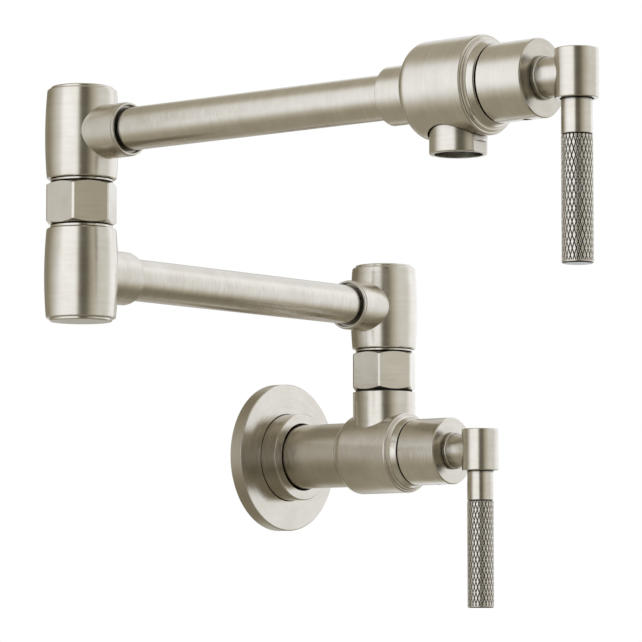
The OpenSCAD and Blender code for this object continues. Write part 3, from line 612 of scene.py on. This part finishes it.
def tentColour(direction):
    turn = math.degrees(math.atan2(direction.y, direction.x)) % 360
    up = math.degrees(math.asin(max(-1, min(1, direction.z))))
    light = tent["level"]
    light += (tent["high"] - light) * soft((up - tent["highStart"]) / tent["highFade"])
    light += (tent["low"] - light) * soft((tent["lowStart"] - up) / tent["lowFade"])
    for card in cards:
        share = max(within(turn, card["turns"]), within(turn + 360, card["turns"]))
        light += (card["light"] - light) * share * within(up, card["heights"])
    cool = soft((light - tent["coolStart"]) / tent["coolFade"])
    return [light * (w + (c - w) * cool) for w, c in zip(tent["warm"], tent["cool"])] + [1]


def onlyReflected(thing):
    thing.visible_camera = False
    thing.visible_diffuse = False
    thing.visible_shadow = False
    thing.visible_transmission = False
    thing.visible_volume_scatter = False


def makeTent():
    shape = bmesh.new()
    around, upward = studio["tentSegments"]
    bmesh.ops.create_uvsphere(shape, u_segments=around, v_segments=upward, radius=studio["tentRadius"])
    sphere = addMesh("lightTent", shape, studio["tentCentre"])
    mesh = sphere.data
    colours = mesh.color_attributes.new("tentColour", "FLOAT_COLOR", "POINT")
    for vertex, colour in zip(mesh.vertices, colours.data):
        colour.color = tentColour(vertex.co.normalized())
    finish = newFinish("tentCloth")
    mesh.materials.append(finish.surface(finish.node("BsdfPrincipled", None, {
        "Base Color": (0, 0, 0, 1),
        "Specular IOR Level": 0,
        "Emission Color": finish.node("VertexColor", {"layer_name": "tentColour"}),
        "Emission Strength": 1,
    })))
    onlyReflected(sphere)


# Semi-clear cards in the plane of the wall, which dim what the base valve and the elbow reflect.
# A card's fade is the share of its reach where it starts to clear.

wallCards = {
    "baseCard": {"centre": (0, 0.004, 0.03), "reach": (0.28, 0.16), "fade": 0.68, "light": 0.15,
                 "cover": 0.56, "tint": (1, 0.95, 0.86, 1)},
    "elbowCard": {"centre": (-0.29, 0.004, 0.2), "reach": (0.24, 0.15), "fade": 0.68, "light": 0.12,
                  "cover": 0.26, "tint": (1, 0.98, 0.94, 1)},
}


def makeWallCard(name, wallCard):
    shape = bmesh.new()
    across, upward = wallCard["reach"]
    corners = [(-across, 0, -upward), (across, 0, -upward), (across, 0, upward), (-across, 0, upward)]
    shape.faces.new([shape.verts.new(corner) for corner in corners])
    card = addMesh(name, shape, wallCard["centre"])
    finish = newFinish(name)
    glow = finish.node("Emission", None, {"Color": tent["warm"] + (1,), "Strength": wallCard["light"]})
    tinted = finish.node("BsdfTransparent", None, {"Color": wallCard["tint"]})
    veil = finish.node("MixShader", None, {0: wallCard["cover"], 1: tinted, 2: glow})
    clear = finish.node("BsdfTransparent")
    reach = finish.lengthOf(finish.vectors("DIVIDE", finish.place(), (across, 1, upward)))
    shown = 1 - finish.ramp(reach, wallCard["fade"], 1)
    card.data.materials.append(finish.surface(
        finish.node("MixShader", None, {0: shown, 1: clear, 2: veil})))
    onlyReflected(card)


def makeWorld():
    world = bpy.data.worlds.new("studioWorld")
    bpy.context.scene.world = world
    finish = Finish(world)
    seen = finish.node("LightPath", output="Is Camera Ray")
    glossy = finish.node("LightPath", output="Is Glossy Ray")
    through = finish.node("LightPath", output="Is Transmission Ray")
    background = finish.node("Background", None, {"Color": studio["background"], "Strength": 1})
    fill = finish.node("Background", None, {"Color": studio["background"], "Strength": studio["fill"]})
    shown = finish.node("MixShader", None, {0: seen + glossy + through, 1: fill, 2: background})
    finish.surface(shown, "OutputWorld")


def makeFloor():
    shape = bmesh.new()
    bmesh.ops.create_circle(shape, cap_ends=True, segments=studio["floorSides"],
                            radius=studio["floorRadius"])
    floor = addMesh("paleFloor", shape, (0, 0, studio["floorHeight"]))
    finish = newFinish("paleFloor")
    matte = finish.node("BsdfPrincipled", None, {
        "Base Color": studio["floorColour"],
        "Roughness": studio["floorRoughness"],
    })
    glow = finish.node("Emission", None, {"Color": studio["background"], "Strength": 1})
    start, full = studio["floorFade"]
    fade = finish.ramp(finish.lengthOf(finish.place()) / studio["floorRadius"], start, full)
    floor.data.materials.append(finish.surface(
        finish.node("MixShader", None, {0: fade, 1: matte, 2: glow})))
    floor.visible_glossy = False  # the metal sees the tent's lower half instead


lamps = {
    "leftSoftbox": {"place": (-2.2, -0.6, 0.9), "size": 1.4, "power": 14},
    "rightSoftbox": {"place": (1.6, -1.6, 1.1), "size": 1.2, "power": 9},
    "topSoftbox": {"place": (-0.2, -0.3, 2.2), "size": 1.6, "power": 10},
}


def makeLamps():
    for name, lamp in lamps.items():
        data = bpy.data.lights.new(name, "AREA")
        data.shape = "SQUARE"
        data.size = lamp["size"]
        data.energy = lamp["power"]
        box = bpy.data.objects.new(name, data)
        box.location = lamp["place"]
        aim = Vector(studio["tentCentre"]) - box.location
        box.rotation_euler = aim.to_track_quat("-Z", "Y").to_euler()
        box.visible_camera = False
        box.visible_glossy = False
        bpy.context.scene.collection.objects.link(box)


makeTent()
for name, wallCard in wallCards.items():
    makeWallCard(name, wallCard)
makeWorld()
makeFloor()
makeLamps()
bpy.context.scene.view_settings.view_transform = "Standard"
print("studio made")
